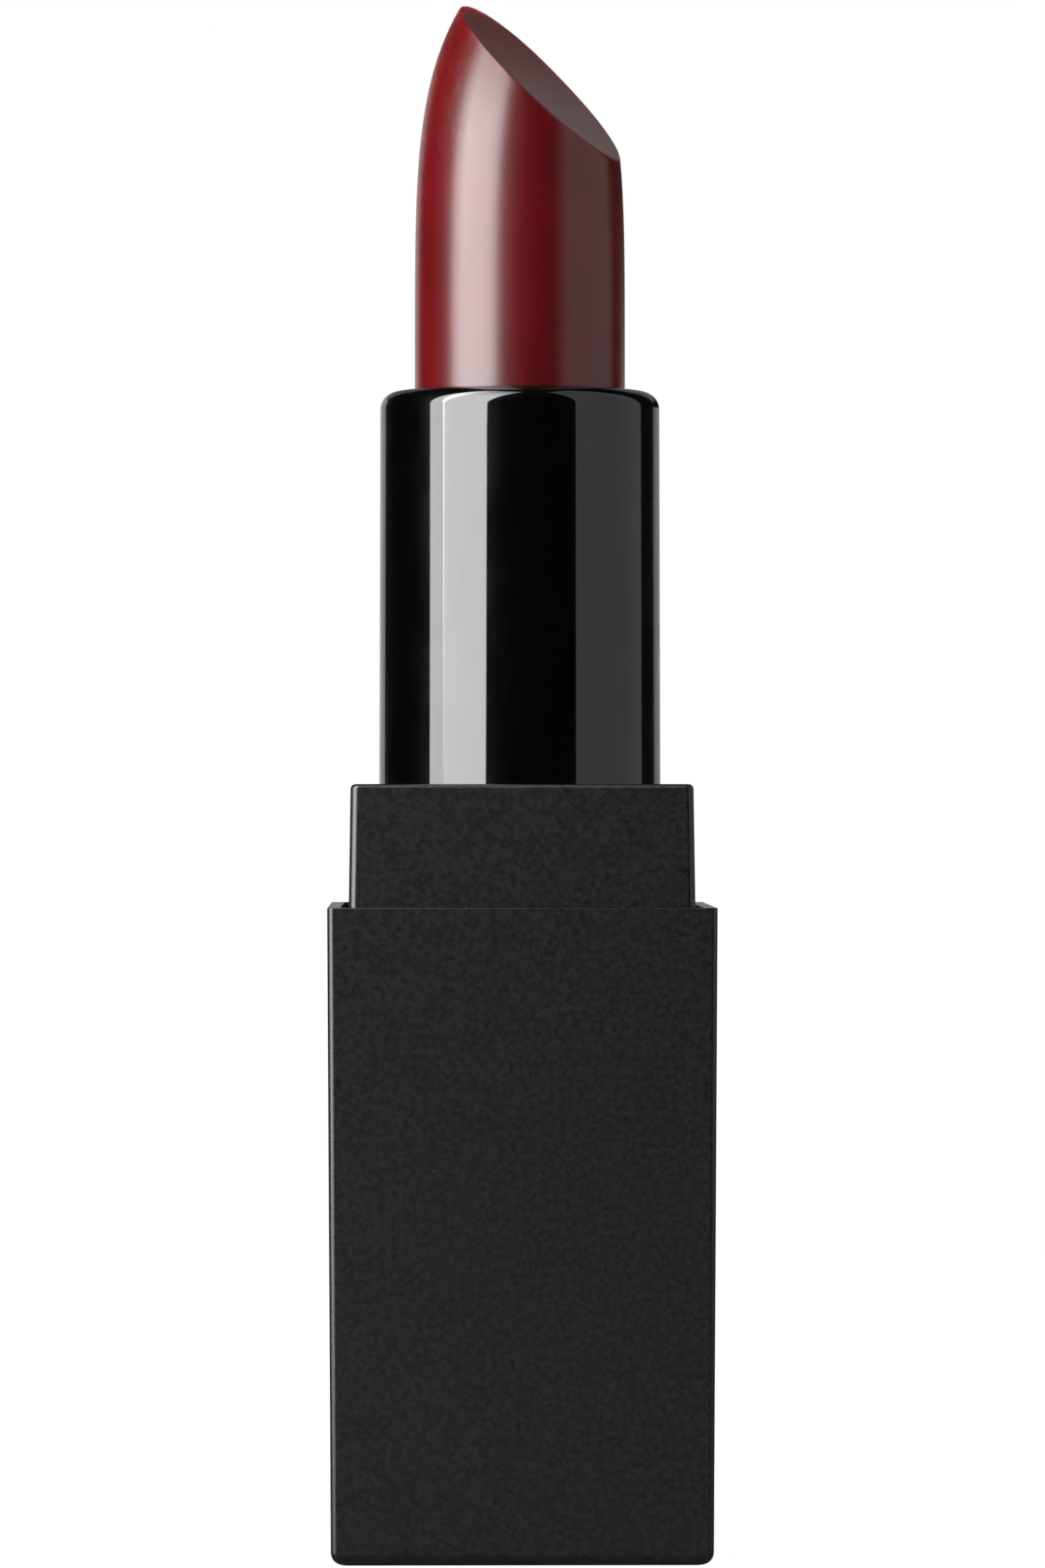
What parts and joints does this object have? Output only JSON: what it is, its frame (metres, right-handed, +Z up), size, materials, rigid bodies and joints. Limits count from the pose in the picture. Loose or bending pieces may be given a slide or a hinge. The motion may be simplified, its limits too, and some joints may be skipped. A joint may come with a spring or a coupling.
{
  "type": "lipstick case",
  "caption": "Square twist-up lipstick case, open: round tube over a spiral and cup mechanism, slant-cut stick raised from a stepped square base.",
  "frame": {"origin": "centre of the foot's outline, on the surface the case stands on", "axes": "+Z up along the lipstick's axis; -Y is the face towards the viewer, +X to its right; the stick's slanted face falls towards +X and a little towards -Y"},
  "size_m": [0.022, 0.022, 0.0888],
  "materials": {
    "soft_touch_black": "fine soft-touch matte black",
    "gloss_black": "polished black",
    "lipstick_wax": "smooth cast dark red wax, satin sheen",
    "mechanism_plastic": "natural moulded plastic, semi gloss",
    "sleeve_plastic": "moulded black plastic, satin",
    "ring_rubber": "greased black rubber",
    "weight_steel": "turned steel with zinc coat",
    "label_foil": "blank black label film, no printing"
  },
  "bodies": {
    "base": {"base_shell": "soft_touch_black", "bottom_label": "label_foil", "base_weight": "weight_steel", "collar_insert": "soft_touch_black", "inner_body": "mechanism_plastic", "drag_ring": "ring_rubber", "tube_bearing": "mechanism_plastic"},
    "sleeve": {"outer_tube": "gloss_black", "spiral_sleeve": "sleeve_plastic"},
    "carrier": {"bullet_cup": "mechanism_plastic", "bullet": "lipstick_wax"}
  },
  "joints": [
    {"name": "twist", "type": "hinge", "parent": "base", "child": "sleeve", "pos_m": [0, 0, 0.0439], "axis": [0, 0, 1], "range_deg": [-540, 0]},
    {"name": "lift", "type": "slide", "parent": "base", "child": "carrier", "axis": [0, 0, 1], "range_m": [-0.024, 0]}
  ],
  "couplings": [
    {"joint": "lift", "follows": "twist", "m_per_rad": 0.0025465}
  ]
}
